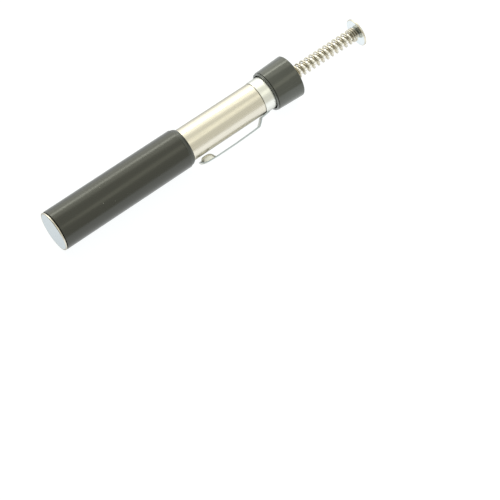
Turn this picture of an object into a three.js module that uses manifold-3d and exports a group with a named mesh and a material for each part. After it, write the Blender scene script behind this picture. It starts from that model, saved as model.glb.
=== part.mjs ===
// Magnetic black-sand separator pen: a plated barrel with a black grip sleeve, a flared cap,
// a pocket clip, and a sprung plunger that carries a stack of magnets down to the tip.
//
// Every piece is drawn about the pen's own axis, z = 0 at the tip face and z growing towards the
// button. The finished pen is then laid down along +X, so that it rests on its cap. Millimetres.

import * as THREE from 'three';
import { mergeVertices } from 'three/addons/utils/BufferGeometryUtils.js';
import Module from 'manifold-3d';

const wasm = await Module();
wasm.setup();

// ---------------------------------------------------------------- driving dimensions

const GAP = 0.3; // between pieces that touch
const SIDES = 32; // round pieces seen from outside
const SMALL_SIDES = 24; // rods, washers, magnets

const TIP = { thickness: 0.55, radius: 9.35, spigotTop: 2.0, spigotWall: 0.9 };
const SLEEVE = { bottom: 1.0, top: 67.2, tipRadius: 9.45, topRadius: 9.35, edge: 0.3 };
const COLLAR = { top: 69.35, radius: 8.95, topRadius: 8.1 };
const TUBE = { bottom: 0.85, radius: 7.8, neckStart: 108.6, shoulderRadius: 7.65, neckRadius: 7.3,
  top: 121.6, bore: 6.95 };
const BAND = { bottom: 108.9, top: 118.6, inner: 7.6, outer: 7.9 };
const TONGUE = { end: 106.5, inner: 8.1, innerAtBand: 7.85, outer: 8.65, overlap: 1.5 };
const CLIP = { width: 4.0, thickness: 0.55, hingeZ: 106.2, hingeRadius: 8.38 };
const BALL = { z: 75.3, radialCentre: 11.3, length: 3.5, height: 2.6, halfWidth: 1.65,
  outerFace: 11.8 };
const CAP = { rim: 114.35, groove: 115.0, top: 128.5, beadRadius: 9.3, grooveRadius: 9.15,
  bodyRadius: 9.52, topRadius: 10.1, mouth: 8.4, socket: 7.6, socketFrom: 118.9, roof: 121.9,
  edge: 0.5 };
const BUSH = { bottom: 120.4, radius: 3.7, bore: 2.1, flangeRadius: 4.6, flangeThickness: 0.6 };
const PLUG = { bottom: 116.4, top: 120.1, radius: 6.7, bore: 2.4 };
const BUMPER = { thickness: 1.3, radius: 6.0, bore: 2.4 };
const STOP = { thickness: 1.6, radius: 4.4, bore: 2.15 };
const ROD = { radius: 2.0, top: 164.9, threadRadius: 1.5, endGap: 0.6 };
const RIVET = { radius: 1.2, length: 0.55 };
const BUTTON = { underside: 165.2, top: 166.3, radius: 6.6, edge: 0.35, recessRadius: 1.5,
  recessDepth: 0.7 };
const SPRING = { outer: 6.6, wire: 0.85, bottomPitch: 1.0, topPitch: 1.08, bottomTurns: 1.75,
  activeTurns: 11.7, topTurns: 2.3, stepsPerTurn: 12, wireSides: 6 };
const CUP = { height: 16.6, pocketDepth: 13.8, radius: 6.55, pocketRadius: 5.85, bore: 1.8 };
const MAGNET = { radius: 5.55, thickness: 4.2, count: 3, inset: 0.3, bevel: 0.3 };
const WASHER = { thickness: 0.6, radius: 3.6, bore: 1.8 };
const NUT = { acrossFlats: 5.5, thickness: 2.4, bore: 1.8 };

const TRAVEL = 20.0; // how far the plunger is pressed
const PRESSED_GAP = 0.5; // left between the magnet cup and the tip disc when it is pressed home
const CLIP_DROOP = THREE.MathUtils.degToRad(26.5); // the clip points to -Y and this much down

const cupBottom = TIP.spigotTop + PRESSED_GAP + TRAVEL;
const cupTop = cupBottom + CUP.height;
const cupRoof = cupBottom + CUP.pocketDepth;
const washerBottom = cupTop + GAP;
const washerTop = washerBottom + WASHER.thickness;
const nutBottom = washerTop + GAP;
const rodShoulder = nutBottom + NUT.thickness + GAP;
const bumperTop = PLUG.bottom - GAP;
const bumperBottom = bumperTop - BUMPER.thickness;
const stopTop = bumperBottom - GAP;

// ---------------------------------------------------------------- shape helpers

const material = (color, roughness, metalness) =>
  new THREE.MeshStandardMaterial({ color, roughness, metalness });

const MATERIALS = {
  grip: material(0x3b3c38, 0.42, 0.0),
  plating: material(0xddd6c2, 0.22, 1.0),
  brightSteel: material(0xe6eaea, 0.12, 1.0),
  springWire: material(0xc9c2b0, 0.25, 1.0),
  rubber: material(0x2a2a28, 0.8, 0.0),
  nylon: material(0xe8e4d8, 0.5, 0.0),
  brass: material(0xb8975a, 0.35, 1.0),
  magnetPlating: material(0xc6c8ca, 0.2, 1.0),
};

// Turns a closed outline of [radius, z] points round the z axis.
function turned(outline, sides = SIDES) {
  const points = outline.map(([r, z]) => new THREE.Vector2(r, z));
  if (THREE.ShapeUtils.area(points) < 0) points.reverse();
  points.push(points[0].clone());
  return new THREE.LatheGeometry(points, sides).rotateX(Math.PI / 2);
}

// Turns an outline that starts and ends on the axis.
function turnedSolid(outline, sides = SIDES) {
  const points = outline.map(([r, z]) => new THREE.Vector2(r, z));
  return new THREE.LatheGeometry(points, sides).rotateX(Math.PI / 2);
}

function ring(inner, outer, bottom, top, sides = SMALL_SIDES) {
  return turned([[inner, bottom], [outer, bottom], [outer, top], [inner, top]], sides);
}

// Points of an arc in the outline's plane, from one angle to the other, in degrees.
function arc(r, z, radius, from, to, steps = 3) {
  const points = [];
  for (let i = 0; i <= steps; i++) {
    const angle = THREE.MathUtils.degToRad(from + ((to - from) * i) / steps);
    points.push([r + radius * Math.cos(angle), z + radius * Math.sin(angle)]);
  }
  return points;
}

// Extrudes a side view drawn as [z, radius] points across the clip's width.
function acrossWidth(outline, width) {
  const shape = new THREE.Shape(outline.map(([z, r]) => new THREE.Vector2(z, r)));
  const geometry = new THREE.ExtrudeGeometry(shape, { depth: width, bevelEnabled: false });
  geometry.translate(0, 0, -width / 2);
  const axial = new THREE.Vector3(0, 0, 1);
  const radial = new THREE.Vector3(1, 0, 0);
  const sideways = new THREE.Vector3(0, 1, 0);
  return geometry.applyMatrix4(new THREE.Matrix4().makeBasis(axial, radial, sideways));
}

function toSolid(geometry) {
  const plain = geometry.clone();
  plain.deleteAttribute('normal');
  plain.deleteAttribute('uv');
  const merged = mergeVertices(plain, 1e-4);
  return new wasm.Manifold(new wasm.Mesh({
    numProp: 3,
    vertProperties: Float32Array.from(merged.attributes.position.array),
    triVerts: Uint32Array.from(merged.index.array),
  }));
}

function fromSolid(solid) {
  const mesh = solid.getMesh();
  const geometry = new THREE.BufferGeometry();
  geometry.setAttribute('position', new THREE.BufferAttribute(mesh.vertProperties, 3));
  geometry.setIndex(new THREE.BufferAttribute(mesh.triVerts, 1));
  geometry.computeVertexNormals();
  return geometry;
}

function add(group, name, geometry, kind) {
  const mesh = new THREE.Mesh(geometry, kind.clone());
  mesh.name = name;
  group.add(mesh);
  return mesh;
}

// ---------------------------------------------------------------- barrel and its fittings

// Bright end disc. A short ring on its back plugs the tube.
function tipDisc() {
  const spigot = TUBE.bore - GAP;
  const inside = spigot - TIP.spigotWall;
  const edge = 0.15;
  return turnedSolid([
    [0, 0],
    [TIP.radius - edge, 0],
    [TIP.radius, edge],
    [TIP.radius, TIP.thickness],
    [spigot, TIP.thickness],
    [spigot, TIP.spigotTop],
    [inside, TIP.spigotTop],
    [inside, TIP.thickness + GAP],
    [0, TIP.thickness + GAP],
  ]);
}

function outerSleeve() {
  const inner = TUBE.radius + GAP;
  return turned([
    [inner, SLEEVE.bottom],
    ...arc(SLEEVE.tipRadius - SLEEVE.edge, SLEEVE.bottom + SLEEVE.edge, SLEEVE.edge, -90, 0),
    [SLEEVE.topRadius, SLEEVE.top],
    [inner, SLEEVE.top],
  ]);
}

// Rounded shoulder that closes the sleeve's upper end.
function sleeveCollar() {
  const bottom = SLEEVE.top + GAP;
  const inner = TUBE.radius + 0.2;
  const round = COLLAR.radius - COLLAR.topRadius;
  return turned([
    [inner, bottom],
    [COLLAR.radius, bottom],
    ...arc(COLLAR.topRadius, COLLAR.top - round, round, 0, 90),
    [inner, COLLAR.top],
  ]);
}

// Thin tube with a neck for the clip band, so that the band lies nearly flush.
function barrelTube() {
  return turned([
    [TUBE.bore, TUBE.bottom],
    [TUBE.radius, TUBE.bottom],
    [TUBE.radius, COLLAR.top],
    [TUBE.shoulderRadius, TUBE.neckStart],
    [TUBE.neckRadius, TUBE.neckStart],
    [TUBE.neckRadius, TUBE.top],
    [TUBE.bore, TUBE.top],
  ]);
}

// Ring round the barrel with a tongue that the clip's arm grows from.
function clipBand() {
  const band = toSolid(ring(BAND.inner, BAND.outer, BAND.bottom, BAND.top, SIDES));
  const rampEnd = BAND.bottom + TONGUE.overlap;
  const tongue = toSolid(acrossWidth([
    [TONGUE.end, TONGUE.inner],
    [BAND.bottom, TONGUE.innerAtBand],
    [BAND.bottom, BAND.inner + 0.05],
    [rampEnd, BAND.inner + 0.05],
    [rampEnd, BAND.outer],
    [TONGUE.end, TONGUE.outer],
  ], CLIP.width));
  return fromSolid(band.add(tongue));
}

// The springy arm: it rises off the tongue, runs back along the barrel with a slight bow, and
// ends in a hollow pressed ball that bulges towards the barrel.
function clipArm() {
  const centreLine = new THREE.SplineCurve([
    [CLIP.hingeZ, CLIP.hingeRadius],
    [105.8, 8.6],
    [105.1, 9.3],
    [104.0, 10.3],
    [102.7, 11.1],
    [101.2, 11.35],
    [97.0, 11.45],
    [90.0, 11.68],
    [80.0, 11.72],
    [76.0, 11.65],
    [73.5, 11.35],
    [72.2, 10.85],
    [71.45, 10.15],
    [71.2, 9.6],
  ].map(([z, r]) => new THREE.Vector2(z, r)));
  const outer = [];
  const inner = [];
  const steps = 36;
  for (let i = 0; i <= steps; i++) {
    const here = centreLine.getPointAt(i / steps);
    const along = centreLine.getTangentAt(i / steps);
    const offset = new THREE.Vector2(-along.y, along.x).multiplyScalar(CLIP.thickness / 2);
    outer.push([here.x - offset.x, here.y - offset.y]);
    inner.push([here.x + offset.x, here.y + offset.y]);
  }
  const strip = toSolid(acrossWidth([...outer, ...inner.reverse()], CLIP.width));
  const wall = CLIP.thickness;
  const belowFace = new THREE.BoxGeometry(BALL.height * 2, CLIP.width, BALL.length * 2);
  belowFace.translate(BALL.outerFace - BALL.height, 0, BALL.z);
  const ball = ellipsoid(BALL.length, BALL.height, BALL.halfWidth, BALL.radialCentre);
  const hollow = ellipsoid(BALL.length - wall, BALL.height, BALL.halfWidth - wall,
    BALL.radialCentre + wall);
  return fromSolid(strip.add(ball.intersect(toSolid(belowFace))).subtract(hollow));
}

// A stretched sphere on the clip's centre line.
function ellipsoid(length, height, halfWidth, radialCentre) {
  const geometry = new THREE.SphereGeometry(1, 16, 10);
  geometry.scale(height, halfWidth, length);
  geometry.translate(radialCentre, 0, BALL.z);
  return toSolid(geometry);
}

// Flared cup with a beaded lip, a socket for the tube and a hole for the bush.
function endCap() {
  const hole = BUSH.radius + GAP;
  const lip = 0.25;
  return turned([
    [CAP.mouth, CAP.rim + lip],
    [CAP.mouth + lip, CAP.rim],
    [CAP.beadRadius - lip, CAP.rim],
    [CAP.beadRadius, CAP.rim + lip],
    [CAP.beadRadius, CAP.groove - 0.1],
    [CAP.grooveRadius, CAP.groove],
    [CAP.bodyRadius, CAP.groove + 0.15],
    [CAP.topRadius, CAP.top - CAP.edge],
    ...arc(CAP.topRadius - CAP.edge, CAP.top - CAP.edge, CAP.edge, 30, 90, 2),
    [hole, CAP.top],
    [hole, CAP.roof],
    [CAP.socket, CAP.roof],
    [CAP.socket, CAP.socketFrom],
    [CAP.mouth, CAP.socketFrom],
  ]);
}

function guideBush() {
  const flangeBottom = CAP.top + GAP;
  const flangeTop = flangeBottom + BUSH.flangeThickness;
  return turned([
    [BUSH.bore, BUSH.bottom],
    [BUSH.radius, BUSH.bottom],
    [BUSH.radius, flangeBottom],
    [BUSH.flangeRadius, flangeBottom],
    [BUSH.flangeRadius, flangeTop],
    [BUSH.bore, flangeTop],
  ], SMALL_SIDES);
}

// ---------------------------------------------------------------- spring

// Compression spring: closed turns at both ends, open turns between.
class SpringLine extends THREE.Curve {
  constructor(bottom, top) {
    super();
    this.radius = (SPRING.outer - SPRING.wire) / 2;
    this.turns = SPRING.bottomTurns + SPRING.activeTurns + SPRING.topTurns;
    this.bottom = bottom;
    const closed = SPRING.bottomTurns * SPRING.bottomPitch + SPRING.topTurns * SPRING.topPitch;
    this.openPitch = (top - bottom - closed) / SPRING.activeTurns;
  }

  height(turn) {
    const first = Math.min(turn, SPRING.bottomTurns);
    const open = THREE.MathUtils.clamp(turn - SPRING.bottomTurns, 0, SPRING.activeTurns);
    const last = turn - first - open;
    return this.bottom + first * SPRING.bottomPitch + open * this.openPitch + last * SPRING.topPitch;
  }

  getPoint(t, target = new THREE.Vector3()) {
    const turn = t * this.turns;
    const angle = 2 * Math.PI * turn;
    return target.set(this.radius * Math.cos(angle), this.radius * Math.sin(angle),
      this.height(turn));
  }
}

function returnSpring() {
  const seat = CAP.top + GAP + BUSH.flangeThickness;
  const line = new SpringLine(seat + 0.1 + SPRING.wire / 2, BUTTON.underside - 0.1 - SPRING.wire / 2);
  const section = new THREE.Shape();
  for (let i = 0; i < SPRING.wireSides; i++) {
    const angle = (2 * Math.PI * i) / SPRING.wireSides;
    const x = (SPRING.wire / 2) * Math.cos(angle);
    const y = (SPRING.wire / 2) * Math.sin(angle);
    if (i === 0) section.moveTo(x, y);
    else section.lineTo(x, y);
  }
  section.closePath();
  const steps = Math.round(line.turns * SPRING.stepsPerTurn);
  return new THREE.ExtrudeGeometry(section, { steps, extrudePath: line });
}

// ---------------------------------------------------------------- plunger

// Rod with a thin threaded end for the magnet cup and a peened end for the button.
function plungerRod() {
  return turnedSolid([
    [0, cupRoof + ROD.endGap],
    [ROD.threadRadius, cupRoof + ROD.endGap],
    [ROD.threadRadius, rodShoulder],
    [ROD.radius, rodShoulder],
    [ROD.radius, ROD.top],
    [RIVET.radius, ROD.top],
    [RIVET.radius, ROD.top + RIVET.length],
    [0, ROD.top + RIVET.length],
  ], SMALL_SIDES);
}

function button() {
  return turnedSolid([
    [0, BUTTON.underside + BUTTON.recessDepth],
    [BUTTON.recessRadius, BUTTON.underside + BUTTON.recessDepth],
    [BUTTON.recessRadius, BUTTON.underside],
    [BUTTON.radius, BUTTON.underside],
    ...arc(BUTTON.radius - BUTTON.edge, BUTTON.top - BUTTON.edge, BUTTON.edge, 0, 90),
    [0, BUTTON.top],
  ]);
}

// Carrier with a pocket that opens at its lower face.
function magnetCup() {
  const edge = 0.4;
  return turned([
    [CUP.pocketRadius, cupBottom],
    [CUP.radius - edge, cupBottom],
    [CUP.radius, cupBottom + edge],
    [CUP.radius, cupTop - edge],
    [CUP.radius - edge, cupTop],
    [CUP.bore, cupTop],
    [CUP.bore, cupRoof],
    [CUP.pocketRadius, cupRoof],
  ], SMALL_SIDES);
}

function magnetDisc(bottom) {
  const top = bottom + MAGNET.thickness;
  return turnedSolid([
    [0, bottom],
    [MAGNET.radius - MAGNET.bevel, bottom],
    [MAGNET.radius, bottom + MAGNET.bevel],
    [MAGNET.radius, top - MAGNET.bevel],
    [MAGNET.radius - MAGNET.bevel, top],
    [0, top],
  ], SMALL_SIDES);
}

function lockNut() {
  const corner = NUT.acrossFlats / Math.sqrt(3);
  const hexagon = new THREE.Shape();
  for (let i = 0; i < 6; i++) {
    const angle = (Math.PI * i) / 3;
    if (i === 0) hexagon.moveTo(corner, 0);
    else hexagon.lineTo(corner * Math.cos(angle), corner * Math.sin(angle));
  }
  hexagon.closePath();
  const hole = new THREE.Path();
  hole.absarc(0, 0, NUT.bore, 0, 2 * Math.PI, true);
  hexagon.holes.push(hole);
  const geometry = new THREE.ExtrudeGeometry(hexagon,
    { depth: NUT.thickness, bevelEnabled: false, curveSegments: SMALL_SIDES / 2 });
  return geometry.translate(0, 0, nutBottom);
}

// ---------------------------------------------------------------- assembly

const pen = new THREE.Group();

add(pen, 'tip_disc', tipDisc(), MATERIALS.brightSteel);
add(pen, 'outer_sleeve', outerSleeve(), MATERIALS.grip);
add(pen, 'sleeve_collar', sleeveCollar(), MATERIALS.grip);
add(pen, 'barrel_tube', barrelTube(), MATERIALS.plating);
add(pen, 'end_cap', endCap(), MATERIALS.grip);
add(pen, 'guide_bush', guideBush(), MATERIALS.brass);
add(pen, 'top_plug', ring(PLUG.bore, PLUG.radius, PLUG.bottom, PLUG.top), MATERIALS.nylon);
add(pen, 'bumper_washer', ring(BUMPER.bore, BUMPER.radius, bumperBottom, bumperTop), MATERIALS.rubber);
add(pen, 'return_spring', returnSpring(), MATERIALS.springWire);

const clip = new THREE.Group();
clip.rotation.z = CLIP_DROOP - Math.PI / 2;
add(clip, 'clip_band', clipBand(), MATERIALS.plating);
add(clip, 'clip_arm', clipArm(), MATERIALS.plating);
pen.add(clip);

add(pen, 'plunger_rod', plungerRod(), MATERIALS.plating);
add(pen, 'button', button(), MATERIALS.brightSteel);
add(pen, 'stop_ring', ring(STOP.bore, STOP.radius, stopTop - STOP.thickness, stopTop), MATERIALS.brass);
add(pen, 'magnet_cup', magnetCup(), MATERIALS.nylon);

const magnetPitch = MAGNET.thickness + GAP;
for (let i = 0; i < MAGNET.count; i++) {
  const bottom = cupBottom + MAGNET.inset + i * magnetPitch;
  add(pen, `magnet_disc_${i + 1}`, magnetDisc(bottom), MATERIALS.magnetPlating);
}

add(pen, 'lock_washer', ring(WASHER.bore, WASHER.radius, washerBottom, washerTop), MATERIALS.plating);
add(pen, 'lock_nut', lockNut(), MATERIALS.plating);

// The pen lies along +X on its cap's widest edge. The origin is under the middle of its box.
pen.rotation.y = Math.PI / 2;
pen.updateMatrixWorld(true);
const box = new THREE.Box3().setFromObject(pen, true);
const middle = box.getCenter(new THREE.Vector3());
pen.position.set(-middle.x, -middle.y, -box.min.z);

const part = new THREE.Group();
part.add(pen);

export default part;
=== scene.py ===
"""Looks of the magnetic separator pen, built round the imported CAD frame.

Every piece is drawn in the pen's own terms: a is the distance along the pen from its tip face,
in millimetres, and r is the distance from the pen's axis. Stations and radii come from the CAD
nodes' boxes. pen_point() turns them into the row frame, in metres.
"""

import math

import bmesh
import bpy
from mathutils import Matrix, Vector


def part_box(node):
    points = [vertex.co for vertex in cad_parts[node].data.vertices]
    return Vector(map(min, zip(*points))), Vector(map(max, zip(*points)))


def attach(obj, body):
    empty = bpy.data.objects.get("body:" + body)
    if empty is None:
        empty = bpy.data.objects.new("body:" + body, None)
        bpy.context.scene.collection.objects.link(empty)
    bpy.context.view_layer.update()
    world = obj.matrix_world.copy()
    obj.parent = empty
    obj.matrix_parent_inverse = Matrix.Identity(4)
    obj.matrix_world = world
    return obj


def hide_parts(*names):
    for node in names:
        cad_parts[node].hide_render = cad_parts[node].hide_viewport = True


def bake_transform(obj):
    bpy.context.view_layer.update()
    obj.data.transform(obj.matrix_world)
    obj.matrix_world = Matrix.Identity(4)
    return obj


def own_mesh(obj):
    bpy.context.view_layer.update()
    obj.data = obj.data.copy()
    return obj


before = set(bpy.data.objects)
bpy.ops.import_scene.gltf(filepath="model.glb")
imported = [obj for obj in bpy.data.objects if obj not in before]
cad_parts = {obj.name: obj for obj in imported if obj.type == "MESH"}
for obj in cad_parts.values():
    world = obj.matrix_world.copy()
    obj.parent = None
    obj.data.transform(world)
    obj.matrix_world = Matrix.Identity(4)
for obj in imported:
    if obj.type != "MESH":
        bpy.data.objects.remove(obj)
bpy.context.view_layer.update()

MM = 0.001
AROUND = 144  # steps round a turned piece
SHARP = math.radians(35)
BAND_LENGTH = 9.7  # the clip's ring without its tongue
SPRING_TURNS = 15.75
LOWER_CLOSED = (1.75, 1.0)  # closed turns at the cap, and their pitch
UPPER_CLOSED = (2.3, 1.08)  # closed turns at the button, and their pitch
SPRING_START = math.radians(312)  # where round the pen the wire starts, at its lower end

# ---------------------------------------------------------------- the pen's axis and stations

tube_low, tube_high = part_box("barrel_tube")
TIP_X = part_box("tip_disc")[0].x
AXIS_Y = (tube_low.y + tube_high.y) / 2
AXIS_Z = (tube_low.z + tube_high.z) / 2
CLIP_DROOP = math.radians(26.5)  # the clip points to -Y and this much down


def span(node):
    """Where a node starts and ends along the pen, in millimetres from the tip face."""
    low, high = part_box(node)
    return (low.x - TIP_X) / MM, (high.x - TIP_X) / MM


def radius(node):
    low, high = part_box(node)
    return (high.z - low.z) / 2 / MM


def pen_point(a, r, angle, sideways=0.0):
    """A point in the row frame. The angle is 0 where the clip is and grows towards the top."""
    turn = angle - CLIP_DROOP
    out = Vector((0, -math.cos(turn), math.sin(turn)))
    side = Vector((0, math.sin(turn), math.cos(turn)))
    centre = Vector((TIP_X + a * MM, AXIS_Y, AXIS_Z))
    return centre + out * (r * MM) + side * (sideways * MM)


# ---------------------------------------------------------------- mesh helpers


def finish_mesh(name, bm, body, materials, nodes):
    """Turns a bmesh into a piece that stands for CAD nodes, and rides on a body if one is named."""
    bmesh.ops.recalc_face_normals(bm, faces=bm.faces)
    mesh = bpy.data.meshes.new(name)
    bm.to_mesh(mesh)
    bm.free()
    for polygon in mesh.polygons:
        polygon.use_smooth = True
    mesh.set_sharp_from_angle(angle=SHARP)
    for material in materials:
        mesh.materials.append(material)
    piece = bpy.data.objects.new(name, mesh)
    bpy.context.scene.collection.objects.link(piece)
    if body:
        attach(piece, body)
    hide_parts(*nodes)
    return piece


def filleted(corners, closed, steps=5):
    """Rounds an outline's corners. A corner is (a, r) or (a, r, fillet radius)."""
    points = []
    count = len(corners)
    for i, corner in enumerate(corners):
        here = Vector(corner[:2])
        size = corner[2] if len(corner) > 2 else 0.0
        if size == 0.0 or (not closed and i in (0, count - 1)):
            points.append(here)
            continue
        before = Vector(corners[i - 1][:2]) - here
        after = Vector(corners[(i + 1) % count][:2]) - here
        half = before.angle(after) / 2
        reach = min(size / math.tan(half), before.length * 0.49, after.length * 0.49)
        start = here + before.normalized() * reach
        end = here + after.normalized() * reach
        for k in range(steps + 1):
            t = k / steps
            points.append(start * (1 - t) ** 2 + here * (2 * t * (1 - t)) + end * t**2)
    return [tuple(p) for p in points]


def turned_bmesh(corners, closed, around=AROUND, shape=None):
    """Turns an outline round the pen's axis. shape(a, r, angle) may change a point's radius."""
    bm = bmesh.new()
    rings = []
    for a, r in filleted(corners, closed):
        if r < 1e-6:
            rings.append([bm.verts.new(pen_point(a, 0, 0))])
            continue
        ring = []
        for k in range(around):
            angle = 2 * math.pi * k / around
            out = shape(a, r, angle) if shape else r
            ring.append(bm.verts.new(pen_point(a, out, angle)))
        rings.append(ring)
    pairs = list(zip(rings, rings[1:]))
    if closed:
        pairs.append((rings[-1], rings[0]))
    for one, two in pairs:
        for k in range(around):
            n = (k + 1) % around
            if len(one) == 1 and len(two) == 1:
                break
            if len(one) == 1:
                bm.faces.new((one[0], two[k], two[n]))
            elif len(two) == 1:
                bm.faces.new((one[k], one[n], two[0]))
            else:
                bm.faces.new((one[k], one[n], two[n], two[k]))
    return bm


def mark_faces(bm, material_index, test):
    """Gives the faces whose centre passes test(a, r) another material."""
    for face in bm.faces:
        centre = face.calc_center_median()
        a = (centre.x - TIP_X) / MM
        r = math.hypot(centre.y - AXIS_Y, centre.z - AXIS_Z) / MM
        if test(a, r):
            face.material_index = material_index


# ---------------------------------------------------------------- material helpers


class Shader:
    """A Principled material with a few short ways to add procedural detail."""

    def __init__(self, name, color, roughness, metallic=0.0):
        self.material = bpy.data.materials.new(name)
        self.material.use_nodes = True
        self.nodes = self.material.node_tree.nodes
        self.links = self.material.node_tree.links
        self.base = self.nodes["Principled BSDF"]
        self.base.inputs["Base Color"].default_value = (*color, 1)
        self.base.inputs["Roughness"].default_value = roughness
        self.base.inputs["Metallic"].default_value = metallic
        self.color = color
        self.place = self.nodes.new("ShaderNodeTexCoord").outputs["Object"]
        self.bump_normal = None

    def noise(self, scale, detail=3.0, roughness=0.5):
        """Noise whose scale is given along X, Y and Z, in cycles per metre."""
        mapping = self.nodes.new("ShaderNodeMapping")
        mapping.inputs["Scale"].default_value = scale
        self.links.new(self.place, mapping.inputs["Vector"])
        texture = self.nodes.new("ShaderNodeTexNoise")
        texture.inputs["Scale"].default_value = 1.0
        texture.inputs["Detail"].default_value = detail
        texture.inputs["Roughness"].default_value = roughness
        self.links.new(mapping.outputs["Vector"], texture.inputs["Vector"])
        return texture.outputs["Fac"]

    def specks(self, per_metre, size):
        """Small round specks, 1 on a speck and 0 elsewhere."""
        texture = self.nodes.new("ShaderNodeTexVoronoi")
        texture.inputs["Scale"].default_value = per_metre
        self.links.new(self.place, texture.inputs["Vector"])
        return self.fit(texture.outputs["Distance"], size, size * 0.6, 0.0, 1.0)

    def fit(self, value, low, high, to_low, to_high):
        """Maps low..high to to_low..to_high, held at both ends."""
        node = self.nodes.new("ShaderNodeMapRange")
        node.inputs["From Min"].default_value = low
        node.inputs["From Max"].default_value = high
        node.inputs["To Min"].default_value = to_low
        node.inputs["To Max"].default_value = to_high
        self.links.new(value, node.inputs["Value"])
        return node.outputs["Result"]

    def combine(self, operation, one, two):
        node = self.nodes.new("ShaderNodeMath")
        node.operation = operation
        for socket, value in zip(node.inputs, (one, two)):
            if isinstance(value, (int, float)):
                socket.default_value = value
            else:
                self.links.new(value, socket)
        return node.outputs["Value"]

    def tint(self, amount, color):
        """Mixes another colour into the base colour by an amount from 0 to 1."""
        mix = self.nodes.new("ShaderNodeMix")
        mix.data_type = "RGBA"
        socket = self.base.inputs["Base Color"]
        if socket.is_linked:
            self.links.new(socket.links[0].from_socket, mix.inputs["A"])
        else:
            mix.inputs["A"].default_value = (*self.color, 1)
        mix.inputs["B"].default_value = (*color, 1)
        self.links.new(amount, mix.inputs["Factor"])
        self.links.new(mix.outputs["Result"], socket)

    def roughen(self, value, low, high):
        """Roughness from low to high as value goes from 0.3 to 0.7."""
        self.links.new(self.fit(value, 0.3, 0.7, low, high), self.base.inputs["Roughness"])

    def bump(self, value, height):
        """Raises the surface by value times a height in metres."""
        node = self.nodes.new("ShaderNodeBump")
        node.inputs["Strength"].default_value = 1.0
        node.inputs["Distance"].default_value = height
        self.links.new(value, node.inputs["Height"])
        if self.bump_normal:
            self.links.new(self.bump_normal, node.inputs["Normal"])
        self.bump_normal = node.outputs["Normal"]
        self.links.new(self.bump_normal, self.base.inputs["Normal"])


# ---------------------------------------------------------------- materials


def black_plastic(name, color, roughness):
    """Moulded plastic: a fine grain, faint lengthwise handling marks and a few dust specks."""
    shader = Shader(name, color, roughness)
    shader.base.inputs["Specular IOR Level"].default_value = 1.0
    shader.base.inputs["Specular Tint"].default_value = (0.98, 1.0, 0.9, 1)
    cloud = shader.noise((60, 60, 60), detail=4)
    marks = shader.noise((30, 1400, 1400), detail=4, roughness=0.6)
    grain = shader.noise((3500, 3500, 3500), detail=2)
    shader.tint(shader.fit(cloud, 0.35, 0.65, 0.0, 0.5), [c * 1.5 for c in color])
    shader.tint(shader.fit(marks, 0.55, 0.8, 0.0, 0.3), [c * 2.2 for c in color])
    shader.tint(shader.specks(210, 0.04), (0.4, 0.4, 0.36))
    blend = shader.combine("ADD", shader.combine("MULTIPLY", cloud, 0.5),
                           shader.combine("MULTIPLY", marks, 0.5))
    shader.roughen(blend, roughness - 0.05, roughness + 0.07)
    shader.bump(grain, 0.000012)
    shader.bump(marks, 0.000006)
    return shader.material


def plated_metal(name, color, roughness, streaks, edge=0.5):
    """Bright plate over drawn metal, with polish lines that run along the pen."""
    shader = Shader(name, color, roughness, metallic=1.0)
    shader.base.inputs["Specular Tint"].default_value = (edge, edge, edge, 1)
    fine = shader.noise((12, 2600, 2600), detail=5, roughness=0.65)
    broad = shader.noise((7, 420, 420), detail=2)
    cloud = shader.noise((90, 90, 90), detail=3)
    shader.tint(shader.fit(broad, 0.35, 0.7, 0.0, streaks), [c * 0.8 for c in color])
    shader.tint(shader.fit(fine, 0.5, 0.8, 0.0, streaks), [c * 0.7 for c in color])
    both = shader.combine("ADD", shader.combine("MULTIPLY", fine, 0.6),
                          shader.combine("MULTIPLY", cloud, 0.4))
    shader.roughen(both, roughness - 0.05, roughness + 0.08)
    shader.bump(fine, 0.000004 * streaks / 0.5)
    return shader.material


def mirror_metal(name, color, roughness, edge=0.8):
    """Polished metal with a faint haze and hairline scratches."""
    shader = Shader(name, color, roughness, metallic=1.0)
    shader.base.inputs["Specular Tint"].default_value = (edge, edge, edge, 1)
    haze = shader.noise((160, 160, 160), detail=4)
    scratches = shader.noise((900, 5200, 700), detail=5, roughness=0.7)
    shader.tint(shader.fit(haze, 0.3, 0.7, 0.0, 0.35), [c * 0.93 for c in color])
    shader.roughen(haze, roughness, roughness + 0.08)
    shader.bump(scratches, 0.0000015)
    return shader.material


def soft_black(name):
    shader = Shader(name, (0.018, 0.018, 0.017), 0.7)
    grain = shader.noise((5000, 5000, 5000), detail=2)
    shader.tint(shader.fit(grain, 0.4, 0.7, 0.0, 0.5), (0.035, 0.035, 0.033))
    shader.bump(grain, 0.00002)
    return shader.material


def moulded_nylon(name):
    shader = Shader(name, (0.72, 0.69, 0.6), 0.5)
    cloud = shader.noise((250, 250, 250), detail=3)
    grain = shader.noise((4500, 4500, 4500), detail=2)
    shader.tint(shader.fit(cloud, 0.35, 0.7, 0.0, 0.6), (0.62, 0.58, 0.48))
    shader.roughen(cloud, 0.42, 0.58)
    shader.bump(grain, 0.00001)
    return shader.material


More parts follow.
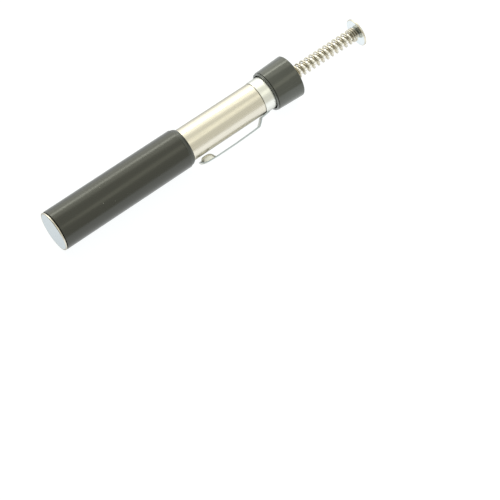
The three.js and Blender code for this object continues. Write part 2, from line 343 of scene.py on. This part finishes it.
grip_black = black_plastic("grip_black", (0.007, 0.0075, 0.006), 0.22)
cap_black = black_plastic("cap_black", (0.05, 0.055, 0.051), 0.16)
# A lighter grey copy of the cap's black plastic: a painted highlight along the cap's lip.
lip_painted_highlight = black_plastic("lip_painted_highlight", (0.15, 0.17, 0.17), 0.2)
collar_black = black_plastic("collar_black", (0.021, 0.025, 0.025), 0.3)
barrel_plate = plated_metal("barrel_plate", (0.83, 0.79, 0.68), 0.26, 0.5, edge=0.45)
clip_plate = plated_metal("clip_plate", (0.92, 0.93, 0.88), 0.3, 0.2, edge=0.4)
cut_edge = plated_metal("cut_edge", (0.5, 0.56, 0.6), 0.35, 0.4)
rod_plate = plated_metal("rod_plate", (0.98, 0.96, 0.9), 0.16, 0.15)
zinc_plate = plated_metal("zinc_plate", (0.7, 0.71, 0.72), 0.28, 0.3)
bright_steel = mirror_metal("bright_steel", (0.66, 0.735, 0.77), 0.06)
button_steel = mirror_metal("button_steel", (0.86, 0.92, 0.95), 0.08)
spring_steel = mirror_metal("spring_steel", (0.76, 0.72, 0.61), 0.08, edge=0.6)
magnet_nickel = mirror_metal("magnet_nickel", (0.75, 0.76, 0.77), 0.1)
turned_brass = plated_metal("turned_brass", (0.71, 0.53, 0.26), 0.22, 0.3)
rubber = soft_black("stop_rubber")
nylon = moulded_nylon("nylon")

# ---------------------------------------------------------------- tip


def make_tip_disc():
    """Bright end disc with a rolled rim; its spigot plugs the tube."""
    start, end = span("tip_disc")
    outer = radius("tip_disc")
    thickness = 0.6
    rim = outer - 0.5
    spigot = 6.65
    inside = spigot - 0.9
    bm = turned_bmesh([
        (start, 0),
        (start, rim - 0.08),
        (start + 0.1, rim, 0.04),
        (start + 0.02, rim + 0.08, 0.05),
        (start, outer - 0.15, 0.15),
        (start + 0.15, outer, 0.12),
        (thickness, outer, 0.1),
        (thickness, spigot),
        (end, spigot, 0.1),
        (end, inside, 0.1),
        (thickness + 0.3, inside, 0.1),
        (thickness + 0.3, 0),
    ], closed=False)
    mark_faces(bm, 1, lambda a, r: r > rim - 0.05 or a > start + 0.15)
    return finish_mesh("end_disc", bm, "barrel",
                       [bright_steel, barrel_plate], ["tip_disc"])


# ---------------------------------------------------------------- sleeve and barrel


def make_sleeve():
    start, end = span("outer_sleeve")
    outer = radius("outer_sleeve")
    bm = turned_bmesh([
        (start, 7.85),
        (start, outer, 0.3),
        (end, outer - 0.1, 0.35),
        (end, 7.85),
    ], closed=True)
    return finish_mesh("grip_sleeve", bm, "barrel", [grip_black], ["outer_sleeve"])


def make_collar():
    """Rounded shoulder from the sleeve's end down to the barrel."""
    start = span("outer_sleeve")[1]
    end = span("sleeve_collar")[1]
    outer = radius("sleeve_collar")
    bm = turned_bmesh([
        (start, 7.82),
        (start, outer, 0.05),
        (start + 1.1, outer - 0.05, 0.6),
        (end, 8.3, 0.6),
        (end, 7.82),
    ], closed=True)
    return finish_mesh("shoulder_ring", bm, "barrel", [collar_black], ["sleeve_collar"])


def make_barrel():
    start, end = span("barrel_tube")
    outer = radius("barrel_tube")
    shoulder = span("clip_band")[1] - BAND_LENGTH - 0.22
    bore, neck = 6.95, 7.3
    bm = turned_bmesh([
        (start, bore),
        (start, outer, 0.1),
        (span("sleeve_collar")[1], outer),
        (shoulder, outer - 0.15, 0.1),
        (shoulder, neck, 0.05),
        (end, neck, 0.1),
        (end, bore, 0.1),
    ], closed=True)
    return finish_mesh("barrel_shell", bm, "barrel", [barrel_plate], ["barrel_tube"])


def make_band():
    end = span("clip_band")[1]
    start = end - BAND_LENGTH
    inner, outer = 7.32, 7.9
    bm = turned_bmesh([
        (start, inner),
        (start, outer, 0.1),
        (end, outer, 0.1),
        (end, inner),
    ], closed=True)
    return finish_mesh("clip_ring", bm, "barrel", [clip_plate], ["clip_band"])


# ---------------------------------------------------------------- clip


def clip_centre_line():
    """The strip's middle surface, seen from the side, as (a, r) points."""
    corners = [
        (110.6, 7.92),
        (105.95, 8.5, 0.6),
        (102.9, 11.2, 1.3),
        (99.0, 11.4, 3.0),
        (90.0, 11.69, 12.0),
        (80.0, 11.73, 12.0),
        (74.4, 11.55, 2.5),
        (72.1, 10.95, 1.2),
        (71.4, 9.75),
    ]
    outline = filleted(corners, closed=False, steps=12)
    points = [Vector(outline[0])]
    for nxt in map(Vector, outline[1:]):
        step = nxt - points[-1]
        pieces = max(1, round(step.length / 0.3))
        base = points[-1]
        for k in range(1, pieces + 1):
            points.append(base + step * (k / pieces))
    return points


def smooth(t):
    t = min(max(t, 0.0), 1.0)
    return t * t * (3 - 2 * t)


def ball_depth(a, w):
    """How far the pressed ball pushes the strip towards the barrel, in millimetres."""
    centre, reach, half_width = 75.3, 3.7, 1.85
    away = math.hypot((a - centre) / reach, w / half_width)
    return 2.8 * (1 - away**3) ** 0.8 if away < 1 else 0.0


def make_clip_strip():
    """One pressed strip: a tongue that hugs the barrel, a bend, the arm and its pressed ball."""
    line = clip_centre_line()
    thickness = 0.54
    half_width = 2.0
    across = [-1.0, -0.97] + [k / 12 for k in range(-11, 12)] + [0.97, 1.0]
    end_a = line[-1].x
    bm = bmesh.new()
    rows = []
    for i, point in enumerate(line):
        before = line[max(i - 1, 0)]
        after = line[min(i + 1, len(line) - 1)]
        along = (after - before).normalized()
        up = Vector((along.y, -along.x))
        hug = 1 - smooth((106.2 - point.x) / 2.0)
        tip_round = smooth((point.x - end_a) / 1.2)
        width = half_width * (0.7 + 0.3 * math.sqrt(tip_round))
        loop = []
        for side in (1, -1):
            for share in across:
                w = width * share * side
                half = thickness / 2 * (0.78 if abs(share) == 1.0 else 1.0)
                drop = (point.y - math.sqrt(point.y**2 - w**2)) * hug
                crown = 0.1 * (w / half_width) ** 2 * (1 - hug)
                pressed = ball_depth(point.x, w) if i < len(line) - 1 else 0.0
                a, r = point + up * (half * side)
                loop.append(bm.verts.new(pen_point(a, r - drop - crown - pressed, 0, w)))
        rows.append(loop)
    count = len(rows[0])
    sheared = (0, len(across) - 2, len(across) - 1, len(across), count - 2, count - 1)
    for one, two in zip(rows, rows[1:]):
        for k in range(count):
            n = (k + 1) % count
            face = bm.faces.new((one[k], one[n], two[n], two[k]))
            face.material_index = 1 if k in sheared else 0
    for row in (rows[0], rows[-1]):
        for k in range(len(across) - 1):
            quad = (row[k], row[k + 1], row[count - 2 - k], row[count - 1 - k])
            bm.faces.new(quad)
    bmesh.ops.remove_doubles(bm, verts=bm.verts, dist=1e-7)
    strip = finish_mesh("clip_strip", bm, None,
                        [clip_plate, cut_edge], ["clip_arm"])
    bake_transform(strip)
    return strip


# ---------------------------------------------------------------- cap and bush


def make_cap():
    """Flared cap with a beaded lip."""
    start, end = span("end_cap")
    outer = radius("end_cap")
    mouth, lip, socket, rod_hole = 8.4, 9.32, 7.6, 4.05
    socket_start = 118.9
    roof = span("barrel_tube")[1] + 0.3
    groove = start + 0.65
    bm = turned_bmesh([
        (start + 0.1, mouth, 0.05),
        (start, mouth + 0.1, 0.05),
        (start, lip, 0.14),
        (groove - 0.1, lip, 0.2),
        (groove, 9.05, 0.04),
        (groove + 0.12, 9.53, 0.12),
        (end - 0.4, outer, 0.25),
        (end, outer - 0.35, 0.25),
        (end, rod_hole, 0.2),
        (roof, rod_hole),
        (roof, socket),
        (socket_start, socket),
        (socket_start, mouth),
    ], closed=True)
    # The lip's face towards the tip takes the lighter grey plastic, a painted highlight along the
    # rim.
    mark_faces(bm, 1, lambda a, r: a < start + 0.05 and r > mouth)
    return finish_mesh("top_cap", bm, "barrel", [cap_black, lip_painted_highlight], ["end_cap"])


def make_bush():
    start, end = span("guide_bush")
    outer = radius("guide_bush")
    cap_top = span("end_cap")[1]
    bm = turned_bmesh([
        (start, 2.1, 0.15),
        (start, 3.7, 0.2),
        (cap_top, 3.7),
        (cap_top, outer, 0.1),
        (end, outer, 0.2),
        (end, 2.1, 0.15),
    ], closed=True, around=96)
    return finish_mesh("rod_bush", bm, "barrel", [turned_brass], ["guide_bush"])


# ---------------------------------------------------------------- spring


def spring_heights(bottom, top, steps):
    """Heights of the wire's centre at even steps of turn: closed, then open, then closed."""
    lower_turns, lower_pitch = LOWER_CLOSED
    upper_turns, upper_pitch = UPPER_CLOSED
    shares = []
    for i in range(steps):
        turn = SPRING_TURNS * (i + 0.5) / steps
        opened = smooth((turn - lower_turns) / 0.4 + 0.5)
        upper = smooth((turn - SPRING_TURNS + upper_turns) / 0.4 + 0.5)
        shares.append((1 - opened, opened - upper, upper))
    step = SPRING_TURNS / steps
    closed_height = sum(low * lower_pitch + high * upper_pitch for low, _, high in shares) * step
    open_turns = sum(middle for _, middle, _ in shares) * step
    open_pitch = (top - bottom - closed_height) / open_turns
    heights = [bottom]
    for low, middle, high in shares:
        pitch = low * lower_pitch + middle * open_pitch + high * upper_pitch
        heights.append(heights[-1] + pitch * step)
    return heights


def make_spring():
    """Round-wire compression spring, wound right-handed, with closed turns at both ends."""
    low, high = span("return_spring")
    wire = 0.425
    mean = radius("return_spring") - wire
    per_turn, sides = 36, 14
    total = round(SPRING_TURNS * per_turn)
    heights = spring_heights(low + wire, high - wire, total)
    bm = bmesh.new()
    rings = []
    for i, height in enumerate(heights):
        angle = SPRING_START - 2 * math.pi * i / per_turn
        before = heights[max(i - 1, 0)]
        after = heights[min(i + 1, total)]
        slope = math.atan2((after - before) / 2, 2 * math.pi * mean / per_turn)
        ring = []
        for k in range(sides):
            round_wire = 2 * math.pi * k / sides
            out = wire * math.cos(round_wire)
            lift = wire * math.sin(round_wire)
            a = height + lift * math.cos(slope)
            swing = lift * math.sin(slope) / mean
            ring.append(bm.verts.new(pen_point(a, mean + out, angle + swing)))
        rings.append(ring)
    for one, two in zip(rings, rings[1:]):
        for k in range(sides):
            n = (k + 1) % sides
            bm.faces.new((one[k], one[n], two[n], two[k]))
    bm.faces.new(rings[0])
    bm.faces.new(list(reversed(rings[-1])))
    spring = finish_mesh("coil_spring", bm, "barrel",
                         [spring_steel], ["return_spring"])
    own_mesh(spring)
    return spring


# ---------------------------------------------------------------- plunger


def make_rod():
    start, end = span("plunger_rod")
    outer = radius("plunger_rod")
    shoulder = span("lock_nut")[1] + 0.3
    thread = 1.5
    pitch = 0.5
    corners = [(start, 0), (start, thread - 0.25)]
    a = start + 0.25
    while a < shoulder - 1.0:
        corners += [(a, thread), (a + pitch / 2, thread - 0.25)]
        a += pitch
    neck = end - 0.55
    corners += [
        (shoulder, thread - 0.25),
        (shoulder, outer, 0.2),
        (neck, outer, 0.1),
        (neck, 1.2),
        (end, 1.2, 0.15),
        (end, 0),
    ]
    bm = turned_bmesh(corners, closed=False, around=72)
    return finish_mesh("press_rod", bm, "plunger", [rod_plate], ["plunger_rod"])


def make_button():
    """Thin round disc with a rolled edge, riveted on the rod."""
    start, end = span("button")
    outer = radius("button")
    bm = turned_bmesh([
        (start + 0.7, 0),
        (start + 0.7, 1.25),
        (start, 1.25),
        (start, outer - 0.35, 0.1),
        (start + 0.12, outer, 0.3),
        (end - 0.3, outer, 0.3),
        (end, outer - 0.45, 0.35),
        (end, 0),
    ], closed=False)
    mark_faces(bm, 1, lambda a, r: r > outer - 0.3)
    return finish_mesh("press_button", bm, "plunger",
                       [button_steel, barrel_plate], ["button"])


def make_ring(name, node, bore, fillet, body, material):
    """A plain ring with rounded edges in a CAD ring's place."""
    start, end = span(node)
    outer = radius(node)
    bm = turned_bmesh([
        (start, bore, fillet),
        (start, outer, fillet),
        (end, outer, fillet),
        (end, bore, fillet),
    ], closed=True, around=96)
    return finish_mesh(name, bm, body, [material], [node])


def make_cup():
    """Magnet carrier: a pocket below, a web with the rod's hole above, and finger grooves."""
    start, end = span("magnet_cup")
    outer = radius("magnet_cup")
    web = start + 13.8
    groove = 0.35
    bm = turned_bmesh([
        (start, 5.85, 0.2),
        (start, outer, 0.4),
        (start + 3.0, outer, 0.1),
        (start + 3.3, outer - groove, 0.1),
        (start + 4.3, outer - groove, 0.1),
        (start + 4.6, outer, 0.1),
        (end, outer, 0.6),
        (end, 1.8, 0.2),
        (web, 1.8, 0.1),
        (web, 5.85, 0.2),
    ], closed=True)
    return finish_mesh("magnet_carrier", bm, "plunger", [nylon], ["magnet_cup"])


def make_magnet(number):
    node = f"magnet_disc_{number}"
    start, end = span(node)
    outer = radius(node)
    bm = turned_bmesh([
        (start, 0),
        (start, outer, 0.35),
        (end, outer, 0.35),
        (end, 0),
    ], closed=False)
    return finish_mesh(f"magnet_{number}", bm, "plunger", [magnet_nickel], [node])


def make_nut():
    """Hexagon nut whose corners are chamfered at both faces."""
    start, end = span("lock_nut")
    flats = 2.75
    chamfer = flats * 1.02

    def hexagon(a, r, angle):
        if r < flats:
            return r
        third = math.pi / 3
        side = flats / math.cos((angle % third) - third / 2)
        near_face = min(a - start, end - a)
        return min(side, chamfer + near_face * 1.6)

    bm = turned_bmesh([
        (start, 1.6, 0.15),
        (start, flats),
        (start + 0.15, flats),
        (start + 0.35, flats),
        (end - 0.35, flats),
        (end - 0.15, flats),
        (end, flats),
        (end, 1.6, 0.15),
    ], closed=True, around=96, shape=hexagon)
    return finish_mesh("rod_nut", bm, "plunger", [zinc_plate], ["lock_nut"])


make_tip_disc()
make_sleeve()
make_collar()
make_barrel()
make_band()
make_clip_strip()
make_cap()
make_bush()
make_spring()
make_rod()
make_button()
make_cup()
for magnet_number in (1, 2, 3):
    make_magnet(magnet_number)
make_nut()
make_ring("inner_plug", "top_plug", 2.4, 0.3, "barrel", nylon)
make_ring("stop_cushion", "bumper_washer", 2.4, 0.35, "barrel", rubber)
make_ring("rod_stop", "stop_ring", 2.02, 0.25, "plunger", turned_brass)
make_ring("nut_washer", "lock_washer", 1.6, 0.1, "plunger", zinc_plate)

# ---------------------------------------------------------------- floor, light and camera

CAMERA_AZIMUTH = math.radians(37.64)  # turned from +Y towards +X
CAMERA_ELEVATION = math.radians(62.215)
CAMERA_DISTANCE = 0.93598
CAMERA_AIM = Vector((-0.022207, -0.057176, 0.0101))  # beside the pen, so that it sits off centre
CAMERA_LENS = 159.12
SENSOR = 36.0


def make_floor():
    """A light table: pale and lit from below."""
    bpy.ops.mesh.primitive_plane_add(size=6.0, location=(0, 0, 0))
    floor = bpy.context.object
    floor.name = "floor"
    shader = Shader("light_table", (0.2, 0.2, 0.2), 0.9)
    shader.base.inputs["Specular IOR Level"].default_value = 0.0
    shader.base.inputs["Emission Color"].default_value = (0.97, 0.99, 1.0, 1)
    shader.base.inputs["Emission Strength"].default_value = 0.95
    floor.data.materials.append(shader.material)


def area_light(name, direction, distance, size, power, color):
    """A soft box that faces the pen's middle from a direction."""
    data = bpy.data.lights.new(name, "AREA")
    data.shape = "RECTANGLE"
    data.size, data.size_y = size
    data.energy = power
    data.color = color
    lamp = bpy.data.objects.new(name, data)
    away = Vector(direction).normalized()
    lamp.location = Vector((0, 0, 0.01)) + away * distance
    lamp.rotation_euler = away.to_track_quat("Z", "Y").to_euler()
    lamp.visible_camera = False
    bpy.context.scene.collection.objects.link(lamp)


def make_world():
    """A pale room: brightest overhead, dark low down beyond the tip and beyond the button."""
    world = bpy.data.worlds.new("studio")
    bpy.context.scene.world = world
    world.use_nodes = True
    nodes = world.node_tree.nodes
    links = world.node_tree.links
    direction = nodes.new("ShaderNodeTexCoord").outputs["Generated"]
    split = nodes.new("ShaderNodeSeparateXYZ")
    links.new(direction, split.inputs["Vector"])

    def ramp(source, low, high, to_low, to_high):
        node = nodes.new("ShaderNodeMapRange")
        node.interpolation_type = "SMOOTHSTEP"
        for name, value in zip(("From Min", "From Max", "To Min", "To Max"),
                               (low, high, to_low, to_high)):
            node.inputs[name].default_value = value
        links.new(source, node.inputs["Value"])
        return node.outputs["Result"]

    def times(one, two):
        node = nodes.new("ShaderNodeMath")
        node.operation = "MULTIPLY"
        links.new(one, node.inputs[0])
        links.new(two, node.inputs[1])
        return node.outputs["Value"]

    ends = times(ramp(split.outputs["X"], 0.7, 0.98, 1.0, 0.2),
                 ramp(split.outputs["X"], -0.6, -0.1, 0.08, 1.0))
    strength = times(ramp(split.outputs["Z"], 0.0, 1.0, 0.66, 0.78), ends)
    background = nodes["Background"]
    background.inputs["Color"].default_value = (1.0, 0.99, 0.88, 1)
    links.new(strength, background.inputs["Strength"])


def make_camera():
    data = bpy.data.cameras.new("camera")
    data.lens = CAMERA_LENS
    data.sensor_width = SENSOR
    data.clip_start = 0.01
    data.clip_end = 20
    camera = bpy.data.objects.new("camera", data)
    flat = math.cos(CAMERA_ELEVATION)
    looking = Vector((math.sin(CAMERA_AZIMUTH) * flat, math.cos(CAMERA_AZIMUTH) * flat,
                      -math.sin(CAMERA_ELEVATION)))
    camera.location = CAMERA_AIM - looking * CAMERA_DISTANCE
    camera.rotation_euler = looking.to_track_quat("-Z", "Y").to_euler()
    bpy.context.scene.collection.objects.link(camera)
    bpy.context.scene.camera = camera


make_floor()
make_world()
area_light("key", (0.31, 0.9, 0.3), 1.3, (2.2, 0.95), 5.9, (1.0, 1.0, 0.94))
area_light("strip", (0.31, 0.78, 0.54), 1.3, (2.2, 0.2), 3.0, (1.0, 1.0, 0.94))
area_light("slope", (0.31, 0.58, 0.78), 1.3, (2.2, 0.6), 2.3, (1.0, 1.0, 0.9))
area_light("near", (0.31, -0.42, 0.87), 1.2, (0.7, 0.34), 0.37, (1.0, 0.99, 0.84))
make_camera()
bpy.context.scene.view_settings.view_transform = "Standard"
